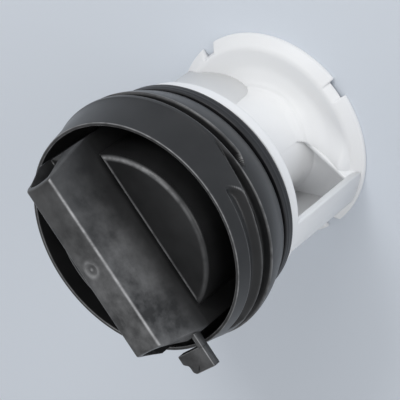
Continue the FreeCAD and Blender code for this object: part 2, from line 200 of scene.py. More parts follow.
def makeSealRubber():
    look = sealFinish
    material, tree = newMaterial("sealRubber")
    coords = addNode(tree, "ShaderNodeTexCoord", (-1100, 0))
    dust = noiseAt(tree, coords, (-850, 100), look["dustNoise"])
    base = rampFrom(tree, dust, (-450, 150), look["dustLevels"], (look["dark"], look["light"]))
    rough = rangeFrom(tree, dust, "Fac", (-450, -100), look["roughLevels"], look["rough"])
    shader = addNode(tree, "ShaderNodeBsdfPrincipled", (0, 0))
    joinNodes(tree, base, "Color", shader, "Base Color")
    joinNodes(tree, rough, "Result", shader, "Roughness")
    grainAndOutput(tree, coords, look, shader)
    return material


# Basket plastic: milky white, light glows a little way into it

basketFinish = {
    "cool": (0.86, 0.863, 0.87, 1.0),
    "warm": (0.895, 0.895, 0.89, 1.0),
    "flowNoise": (45.0, 3.0, 0.5), "flowLevels": (0.3, 0.7),
    "rough": (0.40, 0.50), "roughLevels": (0.3, 0.7),
    "glow": 0.2, "glowDepth": 0.0015, "glowColour": (1.0, 1.0, 1.0),
    "grainNoise": (3200.0, 2.0, 0.5), "grainDepth": 0.03, "grainHeight": 0.0002,
}


def makeBasketPlastic():
    look = basketFinish
    material, tree = newMaterial("basketPlastic")
    coords = addNode(tree, "ShaderNodeTexCoord", (-1100, 0))
    flow = noiseAt(tree, coords, (-850, 150), look["flowNoise"])
    base = rampFrom(tree, flow, (-450, 200), look["flowLevels"], (look["cool"], look["warm"]))
    rough = rangeFrom(tree, flow, "Fac", (-450, -100), look["roughLevels"], look["rough"])
    shader = addNode(tree, "ShaderNodeBsdfPrincipled", (0, 0))
    shader.inputs["Subsurface Weight"].default_value = look["glow"]
    shader.inputs["Subsurface Radius"].default_value = look["glowColour"]
    shader.inputs["Subsurface Scale"].default_value = look["glowDepth"]
    joinNodes(tree, base, "Color", shader, "Base Color")
    joinNodes(tree, rough, "Result", shader, "Roughness")
    grainAndOutput(tree, coords, look, shader)
    return material


capPlastic = makeCapPlastic()
sealRubber = makeSealRubber()
basketPlastic = makeBasketPlastic()
print("finishes done")


# Surface helpers. Shapes are in millimetres until putPiece makes them metres.
# A part is its points, its four-sided faces, its flat end faces, and how pale each point is, as wear and
# painted highlight.

millimetre = 0.001
cornerLead = 1.25  # straight runs stop this many eases from a corner, just before its round
roundColumns = 256
roundAngles = np.linspace(0.0, 2 * np.pi, roundColumns, endpoint=False)


def gridFaces(rows, columns, wrapRows=True, wrapColumns=True):
    # four-sided faces between neighbours of a grid stored row by row
    row, column = np.meshgrid(
        np.arange(rows if wrapRows else rows - 1),
        np.arange(columns if wrapColumns else columns - 1),
        indexing="ij",
    )
    nextRow = (row + 1) % rows
    nextColumn = (column + 1) % columns
    quads = [row * columns + column, nextRow * columns + column]
    quads += [nextRow * columns + nextColumn, row * columns + nextColumn]
    return np.stack(quads, axis=-1).reshape(-1, 4)


def endFaces(rows, columns):
    # the first and the last row of a grid, each as one flat face
    first = np.arange(columns)
    return [first[::-1], first + (rows - 1) * columns]


def turnedOver(quads):
    # the same faces, seen from their other side
    return quads[:, [0, 3, 2, 1]]


def unit(vectors):
    # the same directions, each one long
    return vectors / np.linalg.norm(vectors, axis=-1, keepdims=True)


def smoothStep(low, high, value):
    # 0 below, 1 above, and between them three times the share squared less twice its cube
    share = np.clip((value - low) / (high - low), 0.0, 1.0)
    return share * share * (3 - 2 * share)


def bell(value, spread):
    # 1 where the value is nothing, falling away as e to minus the square of value over spread
    return np.exp(-((value / spread) ** 2))


def parabola(first, control, last, share):
    # leaves the first point towards the control point and comes in to the last point from it
    return (1 - share) ** 2 * first + 2 * share * (1 - share) * control + share ** 2 * last


def softOutline(corners, steps=7):
    # closed line through (across, up, ease) corners: each corner is a parabola that leaves
    # its two sides at the ease distance, with one more point just before and after it
    corners = np.asarray(corners, float)
    place, ease = corners[:, :2], corners[:, 2:]
    before = unit(np.roll(place, 1, axis=0) - place)
    after = unit(np.roll(place, -1, axis=0) - place)
    share = np.linspace(0.0, 1.0, steps)[None, :, None]
    start = (place + before * ease)[:, None]
    end = (place + after * ease)[:, None]
    curve = parabola(start, place[:, None], end, share)
    lead = (place + before * ease * cornerLead)[:, None]
    trail = (place + after * ease * cornerLead)[:, None]
    return np.concatenate([lead, curve, trail], axis=1).reshape(-1, 2)


def evenOutline(outline, count):
    # the same closed line, cut into equal lengths
    closed = np.vstack([outline, outline[:1]])
    steps = np.linalg.norm(np.diff(closed, axis=0), axis=1)
    along = np.concatenate([[0.0], np.cumsum(steps)])
    wanted = np.linspace(0.0, along[-1], count, endpoint=False)
    return np.stack([np.interp(wanted, along, closed[:, axis]) for axis in (0, 1)], axis=1)


def turned(radius, height, angles):
    # every outline point (radius, height) carried round the axis to every angle
    radius = np.broadcast_to(radius, (len(angles), np.shape(radius)[-1]))
    height = np.broadcast_to(height, radius.shape)
    x = radius * np.cos(angles)[:, None]
    y = radius * np.sin(angles)[:, None]
    return np.stack([x, y, height], axis=-1).reshape(-1, 3)


def turnedOutline(corners, steps=7):
    # a soft outline carried all the way round
    outline = softOutline(corners, steps)
    points = turned(outline[:, 0], outline[:, 1], roundAngles)
    return points, gridFaces(roundColumns, len(outline)), [], 0.0


def stackRows(loops, heights):
    # closed loops one above the other, as one grid with flat ends
    up = np.broadcast_to(np.asarray(heights)[:, None, None], loops.shape[:2] + (1,))
    points = np.concatenate([loops, up], axis=-1).reshape(-1, 3)
    rows, columns = loops.shape[:2]
    return points, turnedOver(gridFaces(rows, columns, wrapRows=False)), endFaces(rows, columns)


def slabRows(outline, low, high, ease, steps=5):
    # upright block: the outline at the low height, then up its side, then drawn in along its
    # own normals by a quarter round at the top
    way = unit(outline - np.roll(outline, 1, axis=0)) + unit(np.roll(outline, -1, axis=0) - outline)
    outward = unit(np.stack([way[:, 1], -way[:, 0]], axis=1))
    turn = np.linspace(0.0, np.pi / 2, steps)
    inset = np.concatenate([[0.0, 0.0], ease * (1 - np.cos(turn))])
    height = np.concatenate([[low, high - ease * cornerLead], high - ease * (1 - np.sin(turn))])
    return outline[None] - outward[None] * inset[:, None, None], height


def slab(outline, low, high, ease):
    # such a block with no wear
    return (*stackRows(*slabRows(outline, low, high, ease)), 0.0)


def turnPart(part, degrees):
    # about the axis, anticlockwise as seen from the grip
    points, quads, ends, wearHighlight = part
    cosine, sine = np.cos(np.radians(degrees)), np.sin(np.radians(degrees))
    turn = np.array([[cosine, sine, 0.0], [-sine, cosine, 0.0], [0.0, 0.0, 1.0]])
    return points @ turn, quads, ends, wearHighlight


def bothWays(part):
    # a part and its copy half a turn round
    return [part, turnPart(part, 180.0)]


def putPiece(name, parts, body, slotName, material):
    # all parts as one mesh in metres, tied to its body, with its material
    allPoints, allFaces, allSmooth, allWearHighlight = [], [], [], []
    offset = 0
    for points, quads, ends, wearHighlight in parts:
        allPoints.append(points)
        allFaces += (quads + offset).tolist() + [(end + offset).tolist() for end in ends]
        allSmooth += [True] * len(quads) + [False] * len(ends)
        allWearHighlight.append(np.broadcast_to(np.ravel(wearHighlight), len(points)))
        offset += len(points)
    mesh = bpy.data.meshes.new(name)
    mesh.from_pydata((np.vstack(allPoints) * millimetre).tolist(), [], allFaces)
    mesh.polygons.foreach_set("use_smooth", allSmooth)
    # the pale edges, wear and painted highlight, go to the material as a value per point
    wornHighlight = mesh.attributes.new("wearHighlight", "FLOAT", "POINT")
    wornHighlight.data.foreach_set("value", np.concatenate(allWearHighlight).astype(np.float32))
    mesh.materials.append(material)
    mesh.update()
    piece = bpy.data.objects.new(name, mesh)
    bpy.context.scene.collection.objects.link(piece)
    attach(piece, body)
    print(name, len(allFaces), "faces")
    return piece


# Cap wall: thin flaring ring, its outside worked in fine steps so the thread can be sunk into it

wallShape = {
    "rimR": 27.3, "rimInnerR": 26.5, "rimZ": 54.6, "rimEdge": 0.22,
    "ridgeR": 29.29, "ridgeTop": 45.7, "ridgeLow": 44.6, "upperBow": 0.78, "lowerBow": 1.65,
    "rearR": 27.0, "rearZ": 36.3, "rearEdge": 0.85, "rearStart": -90.0, "rearSweep": 75.0,
    "floorR": 25.2, "floorZ": 38.0, "floorEase": 0.5, "innerR": 19.0,
    # the inside's draft: how far in and down it starts at the rim, how far out and up it ends
    "draftTop": (0.02, 0.5), "draftFoot": (0.06, 0.9),
    "columns": 480, "outerRows": 140, "roundRows": 5,
    # each groove: height, half height, floor radius, start angle, sweep, the degrees it takes to
    # widen from its start and to narrow to its end, how gently its rear side rises, and which edge
    # stays level where it narrows (rear -1, rim 1)
    "grooves": [
        (46.2, 1.15, 26.95, 96.6, 204.0, 1.0, 56.0, 1.0, -1),
        (49.9, 1.0, 26.95, 188.6, 82.0, 9.0, 9.0, 2.2, 1),
        (43.42, 1.1, 26.65, 269.6, 177.0, 9.0, 1.0, 1.0, 1),
    ],
    "narrowest": 0.16, "thinEnd": (0.25, 0.8),
    # in half heights: where a groove's floor ends, where its side ends, and its pale edge of wear and
    # painted highlight
    "flatShare": 0.84, "sideShare": 1.16, "wornHighlightShares": (1.06, 1.2, 1.45),
    "ridgeWearHighlight": 0.34, "rimSideWearHighlight": 0.5, "rimWearHighlight": 0.45, "rimWearHighlightLead": 0.1,
}


def wallRadius(z):
    # outside radius by height: full at the ridge, then falling to the rim and to the rear edge
    # by a power of the share of the way
    shape = wallShape
    lowest = shape["rearZ"] + shape["rearEdge"]
    up = np.clip((z - shape["ridgeTop"]) / (shape["rimZ"] - shape["ridgeTop"]), 0.0, 1.0)
    down = np.clip((shape["ridgeLow"] - z) / (shape["ridgeLow"] - lowest), 0.0, 1.0)
    fallUp = (shape["ridgeR"] - shape["rimR"]) * up ** shape["upperBow"]
    fallDown = (shape["ridgeR"] - shape["rearR"]) * down ** shape["lowerBow"]
    return shape["ridgeR"] - fallUp - fallDown


def groovedWall(degrees, z):
    # radius and pale edge by angle and height: a groove draws the radius in to its floor by a smooth
    # step of the distance from its centre line, and is pale where that step reaches the outside, as edge
    # wear and a painted highlight
    shape = wallShape
    radius = np.broadcast_to(wallRadius(z), (len(degrees), len(z))).copy()
    wornHighlight = np.zeros_like(radius)
    for centre, half, floorR, start, sweep, startTip, endTip, gentle, level in shape["grooves"]:
        # distance from the centre line, counted past the groove's ends too; the centre line draws
        # near the level edge where the groove narrows
        off = (degrees - start - sweep / 2 + 180.0) % 360.0 - 180.0
        tip = np.where(off > 0.0, endTip, startTip)
        inside = sweep / 2 - np.abs(off)
        opening = np.sin(np.clip(inside / tip, 0.0, 1.0) * np.pi / 2)
        narrow = np.maximum(opening, shape["narrowest"])[:, None]
        past = np.radians(np.maximum(-inside, 0.0))[:, None] * shape["ridgeR"]
        rise = (z[None, :] - centre - level * half) / narrow + level * half
        rimSide = rise > 0.0
        far = np.hypot(np.where(rimSide, rise, rise / gentle), past)
        flat = shape["flatShare"] * np.where(rimSide, 1.0, 1 / gentle)
        fade = smoothStep(*shape["thinEnd"], narrow)  # a thin end also grows shallow
        sink = (1 - smoothStep(flat * half, shape["sideShare"] * half, far)) * fade
        radius -= np.maximum(radius - floorR, 0.0) * sink
        wornHighlightFrom, wornHighlightMost, wornHighlightTo = (share * half for share in shape["wornHighlightShares"])
        lip = smoothStep(wornHighlightFrom, wornHighlightMost, far) * (1 - smoothStep(wornHighlightMost, wornHighlightTo, far))
        wornHighlight = np.maximum(wornHighlight, lip * np.where(rimSide, shape["rimSideWearHighlight"], 1.0) * fade)
    return radius, shape["ridgeWearHighlight"] * wornHighlight


def roundPoints(centreR, centreZ, radius, start, sweep, count):
    # points on an arc in the plane of radius and height
    turn = np.radians(np.linspace(start, start + sweep, count))
    return np.stack([centreR + radius * np.cos(turn), centreZ + radius * np.sin(turn)], axis=1)


def capWall():
    # a closed outline carried round the axis: the rear edge, the grooved outside, the flat rim,
    # the inside and the floor; only the outside's radius changes with the angle
    shape = wallShape
    rimEdge, rearEdge, floorEase = shape["rimEdge"], shape["rearEdge"], shape["floorEase"]
    columns, count = shape["columns"], shape["roundRows"]
    angles = np.linspace(0.0, 2 * np.pi, columns, endpoint=False)
    z = np.linspace(shape["rearZ"] + rearEdge, shape["rimZ"] - 2 * rimEdge, shape["outerRows"])
    outer, outerWearHighlight = groovedWall(np.degrees(angles), z)
    rearR, rearZ = shape["rearR"] - rearEdge, shape["rearZ"] + rearEdge
    rear = np.vstack([
        [[shape["innerR"], shape["rearZ"]]],
        roundPoints(rearR, rearZ, rearEdge, shape["rearStart"], shape["rearSweep"], count),
    ])
    rim = np.vstack([
        roundPoints(shape["rimR"] - rimEdge, shape["rimZ"] - rimEdge, rimEdge, 0.0, 90.0, count),
        roundPoints(shape["rimInnerR"] + rimEdge, shape["rimZ"] - rimEdge, rimEdge, 90.0, 90.0, count),
    ])
    topIn, topDown = shape["draftTop"]
    footOut, footUp = shape["draftFoot"]
    floorR, floorZ = shape["floorR"], shape["floorZ"]
    inside = np.vstack([
        [[shape["rimInnerR"] - topIn, shape["rimZ"] - topDown]],
        [[floorR + footOut, floorZ + footUp]],
        roundPoints(floorR - floorEase, floorZ + floorEase, floorEase, 0.0, -90.0, count),
        [[shape["innerR"], floorZ]],
    ])
    ring = np.vstack([rim, inside])
    radius = np.concatenate([
        np.tile(rear[:, 0], (columns, 1)), outer, np.tile(ring[:, 0], (columns, 1)),
    ], axis=1)
    height = np.concatenate([rear[:, 1], z, ring[:, 1]])
    # each round of the rim is palest half way along it, as wear and painted highlight
    lead = shape["rimWearHighlightLead"]
    rimWearHighlight = shape["rimWearHighlight"] * np.tile(np.sin(np.linspace(lead, np.pi - lead, count)), 2)
    wearHighlight = np.concatenate([
        np.zeros((columns, len(rear))), outerWearHighlight,
        np.tile(rimWearHighlight, (columns, 1)), np.zeros((columns, len(inside))),
    ], axis=1)
    return turned(radius, height, angles), gridFaces(columns, len(height)), [], wearHighlight


# Core inside the ring groove, with the spigot that holds the seal

coreShape = {
    "outline": [
        (21.4, 31.3, 0.2), (23.9, 31.3, 0.2), (23.9, 31.9, 0.15), (23.2, 31.9, 0.1), (23.2, 37.0, 0.1),
        (20.3, 37.0, 0.1), (20.3, 55.1, 0.3), (4.0, 55.1, 0.2), (4.0, 53.5, 0.2), (18.7, 53.5, 0.4),
        (18.7, 37.2, 0.2), (21.4, 37.2, 0.2),
    ],
}


# Pads: flat D shapes beside the grip, round all along their edge

padShape = {
    "radius": 20.3, "chord": 6.85, "top": 56.0, "low": 54.6, "ease": 1.0,
    "arcPoints": 90, "chordPoints": 60, "roundRows": 9,
    # in eases: where the side stops below the round, where the flat top starts
    "sideLead": 1.2, "flatLead": 1.3,
    "arcWearHighlight": 0.45, "arcFade": (0.3, 0.85), "chordWearHighlight": 0.55, "leastWearHighlight": 0.15,
    "wornHighlightAt": 1.15, "wornHighlightSpread": 0.42,
}


def capPad():
    # the D drawn in by an inset: its arc shrinks and its chord moves out by the same amount
    shape = padShape
    ease, top = shape["ease"], shape["top"]
    turn = np.linspace(0.0, np.pi / 2, shape["roundRows"])
    inset = np.concatenate([[0.0, 0.0], ease * (1 - np.cos(turn)), [ease * shape["flatLead"]]])[:, None]
    side = [shape["low"], top - ease * shape["sideLead"]]
    height = np.concatenate([side, top - ease * (1 - np.sin(turn)), [top]])
    radius = shape["radius"] - inset
    chord = shape["chord"] + inset
    reach = np.arcsin(chord / radius)
    share = np.linspace(0.0, 1.0, shape["arcPoints"])[None, :]
    angle = np.pi + reach + share * (np.pi - 2 * reach)
    arcX, arcY = radius * np.cos(angle), radius * np.sin(angle)
    back = np.linspace(0.0, 1.0, shape["chordPoints"] + 2)[None, 1:-1]
    chordX = arcX[:, -1:] + (arcX[:, :1] - arcX[:, -1:]) * back
    chordY = np.broadcast_to(-chord, chordX.shape)
    x = np.concatenate([arcX, chordX], axis=1)
    y = np.concatenate([arcY, chordY], axis=1)
    points, quads, ends = stackRows(np.stack([x, y], axis=-1), height)
    # pale part way up the round, as wear and a painted highlight: all along the chord and brighter
    # towards one end of the arc
    rowWearHighlight = np.concatenate([[0.0, 0.0], bell(turn - shape["wornHighlightAt"], shape["wornHighlightSpread"]), [0.0]])
    growth = smoothStep(*shape["arcFade"], share[0])
    arcWearHighlight = shape["arcWearHighlight"] * (shape["leastWearHighlight"] + (1 - shape["leastWearHighlight"]) * growth)
    columnWearHighlight = np.concatenate([arcWearHighlight, np.full(shape["chordPoints"], shape["chordWearHighlight"])])
    return points, quads, ends, rowWearHighlight[:, None] * columnWearHighlight


# Grip: a hollow bar, its section carried along X, out over the outside and back through the inside

gripShape = {
    "outer": [
        (-6.2, 37.6, 0.2), (6.2, 37.6, 0.2), (6.2, 55.6, 0.3), (4.2, 68.9, 0.75),
        (0.0, 69.62, 2.6), (-4.2, 68.9, 0.55), (-6.2, 55.6, 0.3),
    ],
    "inner": [
        (-5.1, 57.2, 0.5), (5.1, 57.2, 0.5), (4.36, 62.0, 0.5), (3.42, 67.95, 0.9),
        (0.0, 68.6, 1.2), (-3.42, 67.95, 0.9), (-4.36, 62.0, 0.5),
    ],
    # lean is how far an end draws in for each step up from the shoulder
    "halfLength": 23.9, "shoulderZ": 62.0, "lean": 3.1 / 7.4, "frontZ": 69.4,
    "endEase": 0.3, "endLip": 0.22, "endRows": 5,  # endLip is a share of the wall's thickness
    "outerRows": 241, "innerRows": 24, "steps": 25,
    "gateR": 1.7, "gateDepth": 0.3, "gateSide": 0.45,
    "gateLip": 0.1, "gateLipAway": 0.25, "gateLipSpread": 0.28, "nibR": 0.42, "nibHeight": 0.36,
    "edgeY": -4.2, "edgeZ": 68.9, "edgeSpread": 0.30, "edgeWearHighlight": 1.0, "frontDrop": 0.3,
    "endWearHighlight": 0.06, "endWearHighlightDepth": 0.3, "endWearHighlightZ": 57.0,
    "gateWearHighlight": 0.3, "gateWearHighlightSpread": 0.5, "nibWearHighlight": 2.0, "nibWearHighlightR": 0.3,
}


def gripBar():
    # point = share of the bar's half length along X, by a mix of the outer and the inner section
    shape = gripShape
    outer = softOutline(shape["outer"], shape["steps"])
    inner = softOutline(shape["inner"], shape["steps"])
    # share runs along the bar, depth goes from the outside of the wall to its inside
    ease = np.linspace(0.0, np.pi / 2, shape["endRows"])
    tip = 1 - (shape["endEase"] / shape["halfLength"]) * (1 - np.sin(ease))
    lip = shape["endLip"] * (1 - np.cos(ease))
    tipBack, lipBack = tip[::-1][:-1], lip[::-1][:-1]
    alongOuter = np.linspace(-tip[0], tip[0], shape["outerRows"])
    alongInner = np.linspace(tip[0], -tip[0], shape["innerRows"])
    share = np.concatenate([alongOuter, tip[1:], tipBack, alongInner, -tip[1:], -tipBack])
    depth = np.concatenate([
        np.zeros(len(alongOuter)), lip[1:], 1 - lipBack,
        np.ones(len(alongInner)), 1 - lip[1:], lipBack,
    ])[:, None]
    across = outer[None, :, 0] * (1 - depth) + inner[None, :, 0] * depth
    up = outer[None, :, 1] * (1 - depth) + inner[None, :, 1] * depth
    length = shape["halfLength"] - shape["lean"] * np.maximum(up - shape["shoulderZ"], 0.0)
    x = share[:, None] * length
    # gate mark on the front: a shallow dish with a raised lip and a nib in the middle
    far = np.hypot(x, across)
    gateR = shape["gateR"]
    dish = -shape["gateDepth"] * (1 - smoothStep(gateR - shape["gateSide"], gateR, far))
    lipRise = shape["gateLip"] * bell(far - gateR - shape["gateLipAway"], shape["gateLipSpread"])
    nib = shape["nibHeight"] * bell(far, shape["nibR"])
    outside = depth == 0
    onFront = (up > shape["edgeZ"] - shape["frontDrop"]) & outside
    # wear and painted highlight: strongest on the near front edge, less on the end edges and round the
    # gate mark
    edgeFar = np.hypot(across - shape["edgeY"], up - shape["edgeZ"])
    onEnd = (depth > 0) & (depth < shape["endWearHighlightDepth"]) & (up > shape["endWearHighlightZ"])
    halo = bell(far - gateR, shape["gateWearHighlightSpread"]) + shape["nibWearHighlight"] * bell(far, shape["nibWearHighlightR"])
    wearHighlight = shape["edgeWearHighlight"] * bell(edgeFar, shape["edgeSpread"]) * outside
    wearHighlight = wearHighlight + shape["endWearHighlight"] * onEnd + shape["gateWearHighlight"] * onFront * halo
    up = np.minimum(up + np.where(onFront, dish + lipRise + nib, 0.0), shape["frontZ"])
    points = np.stack([x, across, up], axis=-1).reshape(-1, 3)
    return points, gridFaces(len(share), len(outer)), [], np.clip(wearHighlight, 0.0, 1.0)


# Lug past the rim: flat tab with a notch and a slit, on an arm that carries on one side of the grip

lugShape = {
    "tab": [
        (-26.4, 2.85, 0.3), (-28.6, 2.85, 0.35), (-29.3, 1.45, 0.5), (-30.9, 1.45, 0.35),
        (-31.6, 0.75, 0.4), (-31.6, -5.5, 0.25), (-26.4, -5.5, 0.2),
    ],
    "arm": [(-23.4, -4.3, 0.1), (-26.9, -4.3, 0.1), (-26.9, -5.5, 0.1), (-23.4, -5.5, 0.1)],
    "low": 58.4, "top": 60.3, "ease": 0.2, "points": 200,
    "slitX": -30.7, "slitY": -0.85, "slitAngle": -44.0,
    "slitHalf": 0.95, "slitWide": 0.17, "slitDeep": 0.4,
    "edgeWearHighlight": 0.45, "wornHighlightRows": slice(3, 6),  # the middle rows of the round along the top
}


def wornHighlightSlab(loops, height):
    # loops stacked up, pale along the round of the top edge as wear and a painted highlight
    wearHighlight = np.zeros(loops.shape[:2])
    wearHighlight[lugShape["wornHighlightRows"]] = lugShape["edgeWearHighlight"]
    return (*stackRows(loops, height), wearHighlight)


def capLug():
    # two upright blocks; the tab's top goes on inwards to the slit, a thin ellipse that is met
    # along the line from its centre to each outline point
    shape = lugShape
    rise = (shape["low"], shape["top"], shape["ease"])
    outline = evenOutline(softOutline(shape["tab"]), shape["points"])
    loops, height = slabRows(outline, *rise)
    centre = np.array([shape["slitX"], shape["slitY"]])
    toOutline = unit(outline - centre)
    angle = np.arctan2(toOutline[:, 1], toOutline[:, 0]) - np.radians(shape["slitAngle"])
    reach = 1 / np.hypot(np.cos(angle) / shape["slitHalf"], np.sin(angle) / shape["slitWide"])
    slit = centre + toOutline * reach[:, None]
    loops = np.concatenate([loops, slit[None], slit[None]])
    height = np.concatenate([height, [shape["top"], shape["top"] - shape["slitDeep"]]])
    return [wornHighlightSlab(loops, height), wornHighlightSlab(*slabRows(softOutline(shape["arm"]), *rise))]


# Snap hub under the cap: four springy quarters

hubShape = {
    "outline": [
        (3.2, 22.5, 0.2), (4.1, 22.5, 0.3), (5.8, 26.2, 0.35), (5.0, 27.6, 0.2), (5.0, 54.0, 0.2),
        (3.2, 54.0, 0.2),
    ],
    "slotHalfAngle": 0.136, "quarterPoints": 28,
}


def capHub():
    # the outline carried round a quarter turn less a slot, then repeated at each quarter
    shape = hubShape
    outline = softOutline(shape["outline"])
    rows, columns = shape["quarterPoints"], len(outline)
    spread = np.linspace(shape["slotHalfAngle"], np.pi / 2 - shape["slotHalfAngle"], rows)
    points = turned(outline[:, 0], outline[:, 1], spread)
    quarter = (points, gridFaces(rows, columns, wrapRows=False), endFaces(rows, columns), 0.0)
    return [turnPart(quarter, degrees) for degrees in (0.0, 90.0, 180.0, 270.0)]


capSetup = ("cap", "cap_plastic", capPlastic)
wallPiece = putPiece("capWall", [capWall()], *capSetup)
putPiece("capCore", [turnedOutline(coreShape["outline"])], *capSetup)
putPiece("capPads", bothWays(capPad()), *capSetup)
putPiece("gripBar", [gripBar()], *capSetup)
putPiece("lug", capLug(), *capSetup)
putPiece("snapHub", capHub(), *capSetup)
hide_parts("screw_cap")


# Seal: square inside, round outside, with the faint line where its mould closed and a narrow gap
# to the cap

sealShape = {
    "outline": [
        (23.2, 31.9, 0.3), (26.5, 31.9, 1.2), (26.5, 33.6, 0.15), (26.58, 34.0, 0.15),
        (26.5, 34.4, 0.15), (26.5, 35.1, 0.4), (25.0, 35.25, 0.15), (25.0, 36.1, 0.15),
        (23.2, 36.1, 0.3),
    ],
    "steps": 10,
}
sealPart = turnedOutline(sealShape["outline"], sealShape["steps"])
sealPiece = putPiece("sealRing", [sealPart], "cap", "seal_rubber", sealRubber)
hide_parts("seal_ring")


# Basket: collar, post and dish are one turned form, with keyways pressed into its lip

basketShape = {
    "turn": 2.6,  # degrees that the whole basket stands turned
    "outline": [
        (9.6, 0.9, 0.2), (23.3, 0.9, 0.2), (23.3, 0.0, 0.2), (25.25, 0.0, 0.25), (25.25, 0.9, 0.3),
        (22.7, 3.05, 1.0), (17.5, 2.1, 1.0), (12.4, 3.0, 3.0), (11.2, 28.0, 2.3), (25.3, 28.0, 1.0),
        (25.3, 31.0, 0.25), (20.9, 31.0, 0.2), (20.9, 34.0, 0.25), (19.5, 34.0, 0.25), (19.5, 31.0, 0.2),
        (5.05, 31.0, 0.2), (5.05, 28.0, 0.2), (9.6, 28.0, 0.3),
    ],
    "columns": 360, "steps": 9,
    # the stretch of the dish that gets finer points, and where the swell beside a rib may lift it
    "dishR": (13.2, 22.3), "dishZ": (1.5, 3.4), "dishStep": 0.35, "topFrom": 1.4, "postInside": 10.5,
    "lipR": 25.25, "lipFloor": 22.6, "recessZ": 0.9,
    "notchTop": 3.5, "notchWidth": 4.3, "notchSide": 0.12,
    # notch angle and how deep it goes in from the lip
    "notches": [(0.5, 2.1), (91.0, 1.0), (180.5, 2.1), (271.0, 1.0)],
}

ribShape = {
    "section": [
        (-1.3, 1.7, 0.2), (1.3, 1.7, 0.2), (0.62, 3.2, 0.7), (0.5, 5.4, 0.38), (-0.5, 5.4, 0.38),
        (-0.62, 3.2, 0.7),
    ],
    "start": (-2.6, -11.0), "end": (-18.0, -15.2), "points": 24,
    "swell": 2.6, "swellWidth": 8.5, "swellPower": 1.4,
    "swellEndR": (20.8, 23.0), "swellTopZ": (3.5, 11.0),
}


def ribLine():
    # where a rib starts, and the run from there to its end
    first = np.array(ribShape["start"])
    return first, np.array(ribShape["end"]) - first


def swellAt(x, y, radius, height):
    # how far the dish rises on the open side of a rib: full beside it, easing to nothing over the
    # width, and fading out at the lip and up the post
    shape = ribShape
    first, run = ribLine()
    way = unit(run)
    out = (x - first[0]) * -way[1] + (y - first[1]) * way[0]
    along = (x - first[0]) * way[0] + (y - first[1]) * way[1]
    slope = (1 - smoothStep(0.0, shape["swellWidth"], out)) ** shape["swellPower"] * (out > 0.0)
    near = smoothStep(-shape["swellWidth"], 0.0, along)
    fade = (1 - smoothStep(*shape["swellEndR"], radius)) * (1 - smoothStep(*shape["swellTopZ"], height))
    return shape["swell"] * slope * near * fade


def finerOutline(outline, radii, heights, step):
    # the same closed line with more points where it lies between two radii and two heights
    low, high = radii
    finer = np.linspace(low, high, int(np.ceil((high - low) / step)))
    across, up = outline.T
    chosen = (across > low) & (across < high) & (up > heights[0]) & (up < heights[1])
    stretch = outline[chosen]
    order = np.argsort(stretch[:, 0])
    height = np.interp(finer, stretch[order, 0], stretch[order, 1])
    first = np.flatnonzero(chosen)[0]
    inward = np.stack([finer, height], axis=1)[::-1]
    return np.vstack([outline[:first], inward, outline[first + len(stretch):]])


def basketBody():
    # the outline carried round the axis; columns at the notches' sides let those stand steep, and
    # the swell lifts the dish beside both ribs
    shape = basketShape
    lipR, lipFloor = shape["lipR"], shape["lipFloor"]
    outline = softOutline(shape["outline"], shape["steps"])
    outline = finerOutline(outline, shape["dishR"], shape["dishZ"], shape["dishStep"])
    half = np.degrees(shape["notchWidth"] / 2 / lipR)
    side = np.degrees(shape["notchSide"] / lipR)
    marks = np.array([middle for middle, depth in shape["notches"]])
    extra = marks[:, None] + np.array([-half - side, -half, half, half + side])[None, :]
    even = np.linspace(0.0, 360.0, shape["columns"], endpoint=False)
    degrees = np.unique(np.concatenate([even, extra.ravel() % 360.0]))
    radius = np.tile(outline[:, 0], (len(degrees), 1))
    height = np.tile(outline[:, 1], (len(degrees), 1))
    for middle, depth in shape["notches"]:
        # inside a notch the lip is drawn in to its floor and up to the recess
        off = np.abs((degrees - middle + 180.0) % 360.0 - 180.0)
        mask = (1 - smoothStep(half, half + side, off))[:, None] * (height < shape["notchTop"])
        outside = np.maximum(radius - lipFloor, 0.0)
        keep = (lipR - depth - lipFloor) / (lipR - lipFloor)
        height = height + np.maximum(shape["recessZ"] - height, 0.0) * mask * (radius > lipFloor)
        radius = radius - outside * (1 - keep) * mask
    points = turned(radius, height, np.radians(degrees))
    x, y, z = points.T
    radius = radius.ravel()
    onTop = (z > shape["topFrom"]) & (radius < lipFloor) & (radius > shape["postInside"])
    swell = swellAt(x, y, radius, z) + swellAt(-x, -y, radius, z)
    points[:, 2] += swell * onTop
    return points, gridFaces(len(degrees), len(outline)), [], 0.0


# Strut: a piece of shell from the collar down to the lip, soft along both edges

strutShape = {
    "outerR": 24.75, "wall": 1.7, "start": 201.0, "sweep": 21.5, "low": 0.6, "high": 28.4,
    "edge": 0.5, "ease": 0.05, "points": 160,
}


def basketStrut():
    # the section is drawn flat as length round the shell by radius, then bent to its radius
    shape = strutShape
    outer = shape["outerR"]
    inner = outer - shape["wall"]
    length = np.radians(shape["sweep"]) * outer
    corners = [(0.0, inner), (length, inner), (length, outer), (0.0, outer)]
    flat = evenOutline(softOutline([corner + (shape["edge"],) for corner in corners]), shape["points"])
    angle = np.radians(shape["start"]) + flat[:, 0] / outer
    section = np.stack([flat[:, 1] * np.cos(angle), flat[:, 1] * np.sin(angle)], axis=1)[::-1]
    return slab(section, shape["low"], shape["high"], shape["ease"])


# Web: a tall wall that bows from the post to the strut's leading edge

webShape = {
    "start": (-8.4, 6.1), "middle": (-16.5, 0.3), "end": (-22.2, -8.9), "thickness": 1.4,
    "low": 1.6, "high": 28.4, "ease": 0.05, "points": 60,
}


